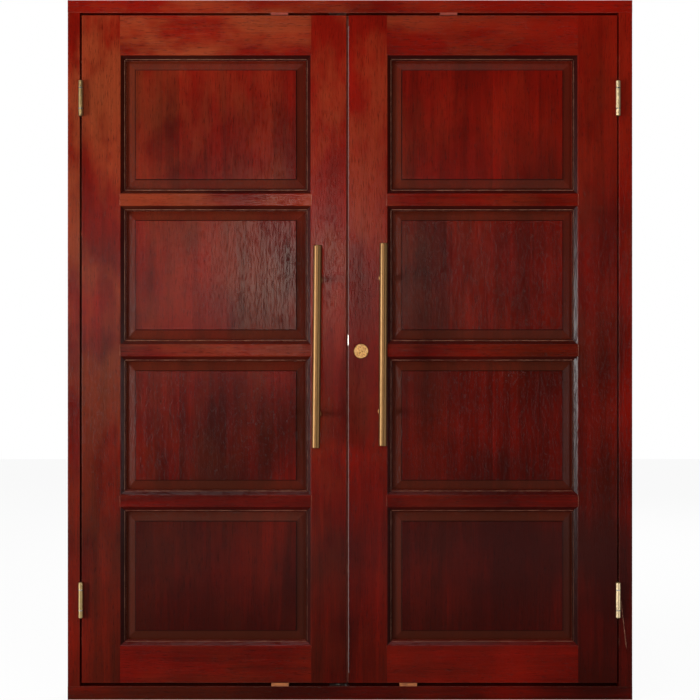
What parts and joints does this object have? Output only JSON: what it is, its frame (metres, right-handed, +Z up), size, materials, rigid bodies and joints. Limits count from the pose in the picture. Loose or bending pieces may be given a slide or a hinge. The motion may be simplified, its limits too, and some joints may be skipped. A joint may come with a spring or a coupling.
{
  "type": "panelled double door in a frame",
  "caption": "Panelled hardwood double door hung on butt hinges in a rebated timber frame, with pull bars, a deadlock and flush bolts.",
  "frame": {"origin": "middle of the sill's underside", "axes": "+X to the right seen from the front, -Y out of the front the leaves open to, +Z up"},
  "size_m": [1.694, 0.1675, 2.1],
  "materials": {
    "frame_wood": "semi-gloss red mahogany lacquer",
    "leaf_wood": "semi-gloss red mahogany lacquer",
    "panel_wood": "semi-gloss red mahogany lacquer",
    "bare_softwood": "sawn, unfinished",
    "hinge_brass": "polished, slightly dulled",
    "satin_brass": "satin",
    "lock_brass": "satin",
    "screw_brass": "plain",
    "bearing_steel": "ground",
    "plated_steel": "nickel plated",
    "case_steel": "dark painted",
    "brush_pile": "dense dark brush pile on a strip"
  },
  "bodies": {
    "frame": {"flush_bolt_keeps": "plated_steel", "frame_hinge_screws": "screw_brass", "head": "frame_wood", "hinge_bearings": "bearing_steel", "hinge_pins": "hinge_brass", "jamb_repair": "frame_wood", "left_jamb": "frame_wood", "left_lower_hinge_frame_plate": "hinge_brass", "left_upper_hinge_frame_plate": "hinge_brass", "packers": "bare_softwood", "right_jamb": "frame_wood", "right_lower_hinge_frame_plate": "hinge_brass", "right_upper_hinge_frame_plate": "hinge_brass", "sill": "frame_wood"},
    "left_leaf": {"flush_bolt_plates": "plated_steel", "left_bottom_rail": "leaf_wood", "left_cross_rail_1": "leaf_wood", "left_cross_rail_2": "leaf_wood", "left_cross_rail_3": "leaf_wood", "left_hinge_stile": "leaf_wood", "left_leaf_screws": "screw_brass", "left_lower_hinge_leaf_plate": "hinge_brass", "left_meeting_stile": "leaf_wood", "left_panel_1": "panel_wood", "left_panel_2": "panel_wood", "left_panel_3": "panel_wood", "left_panel_4": "panel_wood", "left_pull_bar": "satin_brass", "left_pull_fixings": "satin_brass", "left_pull_posts": "satin_brass", "left_top_rail": "leaf_wood", "left_upper_hinge_leaf_plate": "hinge_brass", "meeting_seal": "brush_pile", "strike_plate": "plated_steel"},
    "right_leaf": {"lock_case": "case_steel", "lock_cylinder": "lock_brass", "lock_forend": "plated_steel", "lock_roses": "lock_brass", "right_bottom_rail": "leaf_wood", "right_cross_rail_1": "leaf_wood", "right_cross_rail_2": "leaf_wood", "right_cross_rail_3": "leaf_wood", "right_hinge_stile": "leaf_wood", "right_leaf_screws": "screw_brass", "right_lower_hinge_leaf_plate": "hinge_brass", "right_meeting_stile": "leaf_wood", "right_panel_1": "panel_wood", "right_panel_2": "panel_wood", "right_panel_3": "panel_wood", "right_panel_4": "panel_wood", "right_pull_bar": "satin_brass", "right_pull_fixings": "satin_brass", "right_pull_posts": "satin_brass", "right_top_rail": "leaf_wood", "right_upper_hinge_leaf_plate": "hinge_brass"},
    "lock_plug": {"lock_plug": "lock_brass"},
    "deadbolt": {"deadbolt": "plated_steel"},
    "top_flush_rod": {"top_flush_rod": "plated_steel"},
    "bottom_flush_rod": {"bottom_flush_rod": "plated_steel"}
  },
  "joints": [
    {"name": "left_leaf_swing", "type": "hinge", "parent": "frame", "child": "left_leaf", "pos_m": [-0.80625, -0.05565, 1.0525], "axis": [0, 0, -1], "range_deg": [0, 170]},
    {"name": "right_leaf_swing", "type": "hinge", "parent": "frame", "child": "right_leaf", "pos_m": [0.803, -0.05565, 1.0525], "axis": [0, 0, 1], "range_deg": [0, 170]},
    {"name": "lock_plug_turn", "type": "hinge", "parent": "right_leaf", "child": "lock_plug", "pos_m": [0.0333, -0.025, 1.0545], "axis": [0, 1, 0], "range_deg": [0, 360]},
    {"name": "deadbolt_slide", "type": "slide", "parent": "right_leaf", "child": "deadbolt", "axis": [-1, 0, 0], "range_m": [0, 0.02]},
    {"name": "top_flush_rod_slide", "type": "slide", "parent": "left_leaf", "child": "top_flush_rod", "axis": [0, 0, 1], "range_m": [0, 0.02]},
    {"name": "bottom_flush_rod_slide", "type": "slide", "parent": "left_leaf", "child": "bottom_flush_rod", "axis": [0, 0, -1], "range_m": [0, 0.02]}
  ],
  "couplings": [
    {"joint": "lock_plug_turn", "follows": "deadbolt_slide", "rad_per_m": 314}
  ]
}
